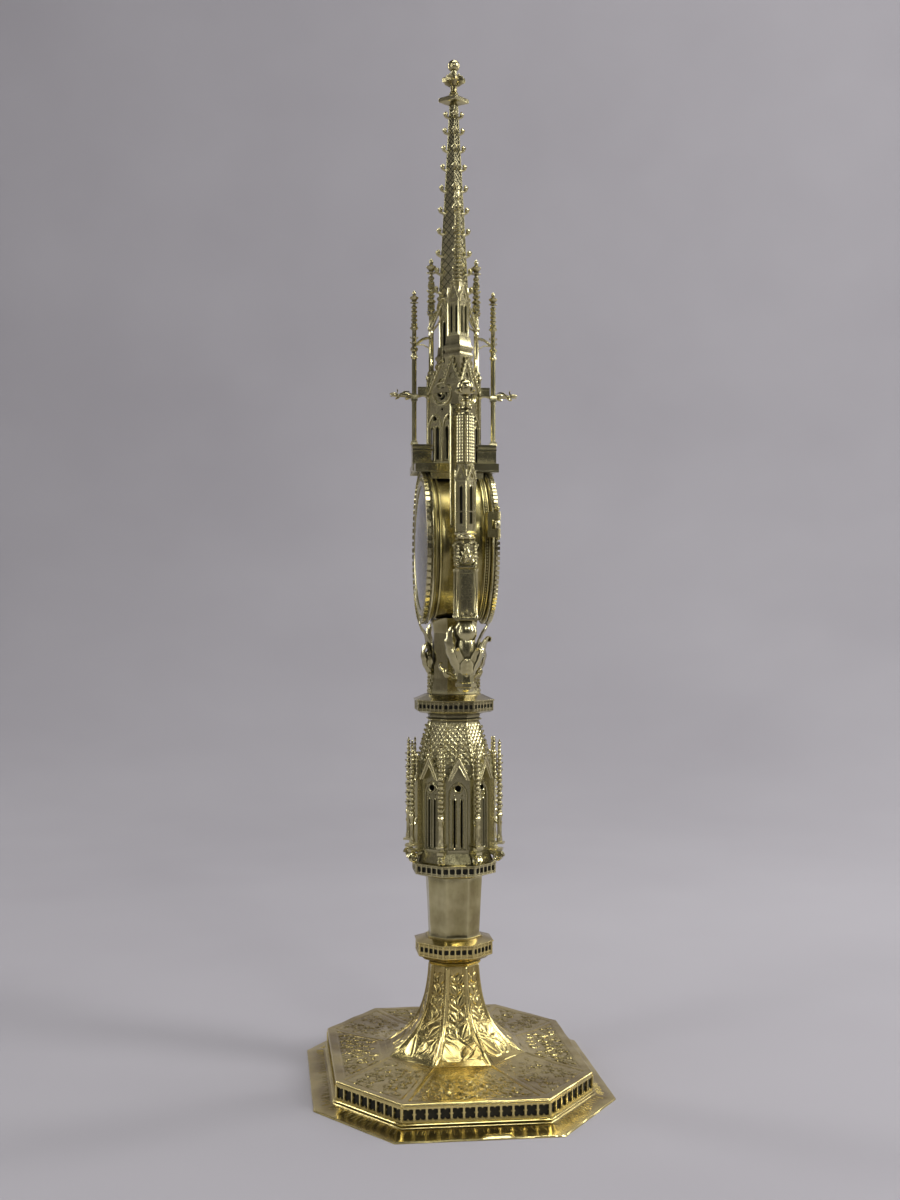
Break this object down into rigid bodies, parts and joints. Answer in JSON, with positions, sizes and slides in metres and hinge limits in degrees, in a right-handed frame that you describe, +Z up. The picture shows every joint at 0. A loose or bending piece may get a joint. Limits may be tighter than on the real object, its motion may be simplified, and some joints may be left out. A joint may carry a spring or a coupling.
{
  "type": "monstrance",
  "caption": "Gothic tower monstrance: cut-corner foot, octagonal stem, chapel knop, round glazed capsule with hinged rear door, side piers and a tall crocketed spire.",
  "frame": {"origin": "centre of the base on the surface it stands on", "axes": "+Z up along the spire, -Y towards the glazed front, +X towards the door's hinge side"},
  "size_m": [0.226, 0.1696, 0.6],
  "materials": {
    "silver_gilt": "aged silver gilt with dark patina in the recesses",
    "gilt_foot": "engraved warm gilding, worn",
    "brushed_gilt": "plain worn gilt sheet with soft brushing",
    "bright_gilt": "polished gilding",
    "iron_fittings": "darkened iron with gilt traces",
    "dark_backing": "dark blackened sheet",
    "crystal": "clear slightly domed glass"
  },
  "bodies": {
    "stand": {"capsule_drum": "brushed_gilt", "finial_ball": "silver_gilt", "finial_crown": "silver_gilt", "finial_plate": "silver_gilt", "flyers": "silver_gilt", "foot_flange": "gilt_foot", "foot_gallery": "gilt_foot", "foot_moulding": "gilt_foot", "foot_neck": "gilt_foot", "foot_plate": "gilt_foot", "front_bezel": "silver_gilt", "front_glass": "crystal", "gallery_backing": "dark_backing", "gargoyles": "silver_gilt", "hinge_leaf": "silver_gilt", "hinge_pin": "iron_fittings", "inner_pinnacles": "silver_gilt", "knop_base": "silver_gilt", "knop_buttresses": "silver_gilt", "knop_gables": "silver_gilt", "knop_roof": "silver_gilt", "knop_walls": "silver_gilt", "lantern": "silver_gilt", "latch_post": "iron_fittings", "leaf_bracket_left": "silver_gilt", "leaf_bracket_right": "silver_gilt", "leaf_crockets": "silver_gilt", "lower_stem": "brushed_gilt", "lunula_rail": "bright_gilt", "neck_collar": "gilt_foot", "outer_post_front": "silver_gilt", "outer_post_rear": "silver_gilt", "pier_canopy_left": "silver_gilt", "pier_canopy_right": "silver_gilt", "pier_knob_left": "silver_gilt", "pier_knob_right": "silver_gilt", "pier_niche_left": "silver_gilt", "pier_niche_right": "silver_gilt", "pier_shaft_left": "silver_gilt", "pier_shaft_right": "silver_gilt", "rod_nut": "iron_fittings", "rod_washer": "iron_fittings", "side_turret_left": "silver_gilt", "side_turret_right": "silver_gilt", "spire": "silver_gilt", "spirelet_left": "silver_gilt", "spirelet_right": "silver_gilt", "tie_rod": "iron_fittings", "tower_gables": "silver_gilt", "tower_links": "silver_gilt", "tower_saddle": "silver_gilt", "tower_walls": "silver_gilt", "upper_collar": "silver_gilt", "upper_ring": "silver_gilt", "upper_stem": "brushed_gilt"},
    "door": {"door_frame": "silver_gilt", "rear_glass": "crystal"},
    "latch": {"latch_button": "silver_gilt"},
    "lunula": {"lunula_clip": "bright_gilt", "lunula_foot": "bright_gilt"}
  },
  "joints": [
    {"name": "door_hinge", "type": "hinge", "parent": "stand", "child": "door", "pos_m": [0.0486, 0.0185, 0.323], "axis": [0, 0, -1], "range_deg": [0, 110]},
    {"name": "latch_turn", "type": "hinge", "parent": "stand", "child": "latch", "pos_m": [-0.0492, 0.0212, 0.3112], "axis": [0, -1, 0], "range_deg": [0, 90]},
    {"name": "lunula_slide", "type": "slide", "parent": "stand", "child": "lunula", "axis": [0, 1, 0], "range_m": [-0.006, 0.004]}
  ]
}
